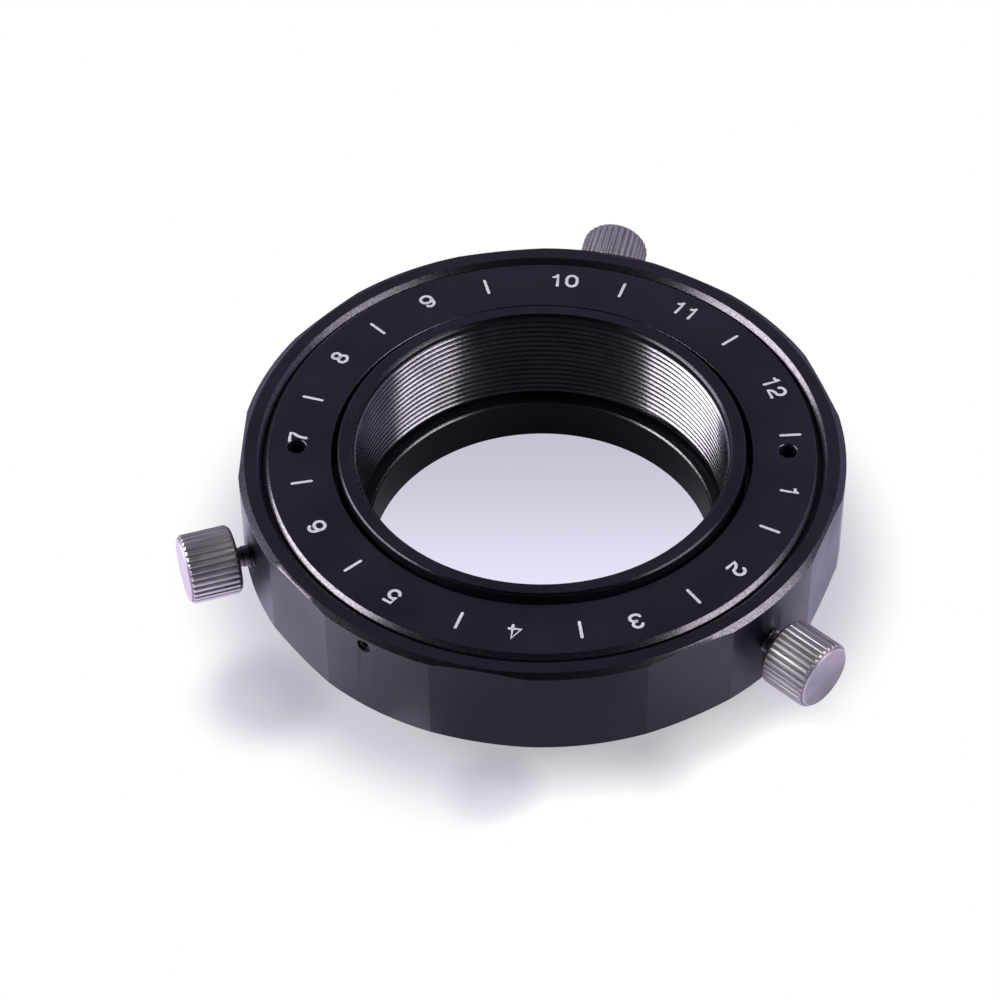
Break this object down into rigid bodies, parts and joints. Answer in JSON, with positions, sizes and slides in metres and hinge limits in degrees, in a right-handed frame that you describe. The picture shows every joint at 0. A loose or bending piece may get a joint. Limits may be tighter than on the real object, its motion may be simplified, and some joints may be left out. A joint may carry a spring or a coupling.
{
  "type": "optical rotation mount",
  "caption": "Low flatted ring that holds a threaded rotor on an optical axis, with a numbered dial ring flush in its face and knurled thumb screws round its rim to clamp the rotor.",
  "frame": {"origin": "on the optical axis at the free end of the male thread, where the part also stands on a table", "axes": "+Z along the optical axis towards the camera side; +X to the right when the lock screw is at the front left, with a dial ring spanner hole 2 degrees clockwise from it"},
  "size_m": [0.0749, 0.0753, 0.0179],
  "materials": {
    "black_anodised_body": "satin black anodised",
    "black_anodised_dial": "matt black anodised, marks engraved and filled white",
    "black_anodised_rotor": "satin black anodised, threaded bore",
    "black_steel": "black oxide",
    "dark_steel": "turned and threaded",
    "stainless_steel": "satin stainless, straight knurl",
    "black_ptfe": "filled PTFE sheet",
    "nylon": "natural nylon"
  },
  "bodies": {
    "fixed_body": {"outer_body": "black_anodised_body", "dial_ring": "black_anodised_dial", "dial_lock_screw": "black_steel", "lower_slip_washer": "black_ptfe", "upper_slip_washer": "black_ptfe"},
    "rotor": {"rotor": "black_anodised_rotor"},
    "clamp_tip_1": {"clamp_tip_1": "nylon"},
    "thumb_screw_1": {"knurled_head_1": "stainless_steel", "screw_stud_1": "dark_steel"},
    "clamp_tip_2": {"clamp_tip_2": "nylon"},
    "thumb_screw_2": {"knurled_head_2": "stainless_steel", "screw_stud_2": "dark_steel"},
    "clamp_tip_3": {"clamp_tip_3": "nylon"},
    "thumb_screw_3": {"knurled_head_3": "stainless_steel", "screw_stud_3": "dark_steel"}
  },
  "joints": [
    {"name": "rotor_turn", "type": "hinge", "parent": "fixed_body", "child": "rotor", "pos_m": [0, 0, 0], "axis": [0, 0, 1], "continuous": true},
    {"name": "clamp_tip_1_travel", "type": "slide", "parent": "fixed_body", "child": "clamp_tip_1", "axis": [-0.2351, -0.972, 0], "range_m": [-0.0015, 0.0005]},
    {"name": "thumb_screw_1_turn", "type": "hinge", "parent": "clamp_tip_1", "child": "thumb_screw_1", "pos_m": [0, 0, 0.0111], "axis": [-0.2351, -0.972, 0], "range_deg": [-1080, 360]},
    {"name": "clamp_tip_2_travel", "type": "slide", "parent": "fixed_body", "child": "clamp_tip_2", "axis": [0.9568, 0.2907, 0], "range_m": [-0.0015, 0.0005]},
    {"name": "thumb_screw_2_turn", "type": "hinge", "parent": "clamp_tip_2", "child": "thumb_screw_2", "pos_m": [0, 0, 0.0111], "axis": [0.9568, 0.2907, 0], "range_deg": [-1080, 360]},
    {"name": "clamp_tip_3_travel", "type": "slide", "parent": "fixed_body", "child": "clamp_tip_3", "axis": [-0.7133, 0.7009, 0], "range_m": [-0.0015, 0.0005]},
    {"name": "thumb_screw_3_turn", "type": "hinge", "parent": "clamp_tip_3", "child": "thumb_screw_3", "pos_m": [0, 0, 0.0111], "axis": [-0.7133, 0.7009, 0], "range_deg": [-1080, 360]}
  ],
  "couplings": [
    {"joint": "thumb_screw_1_turn", "follows": "clamp_tip_1_travel", "rad_per_m": 12566},
    {"joint": "thumb_screw_2_turn", "follows": "clamp_tip_2_travel", "rad_per_m": 12566},
    {"joint": "thumb_screw_3_turn", "follows": "clamp_tip_3_travel", "rad_per_m": 12566}
  ]
}
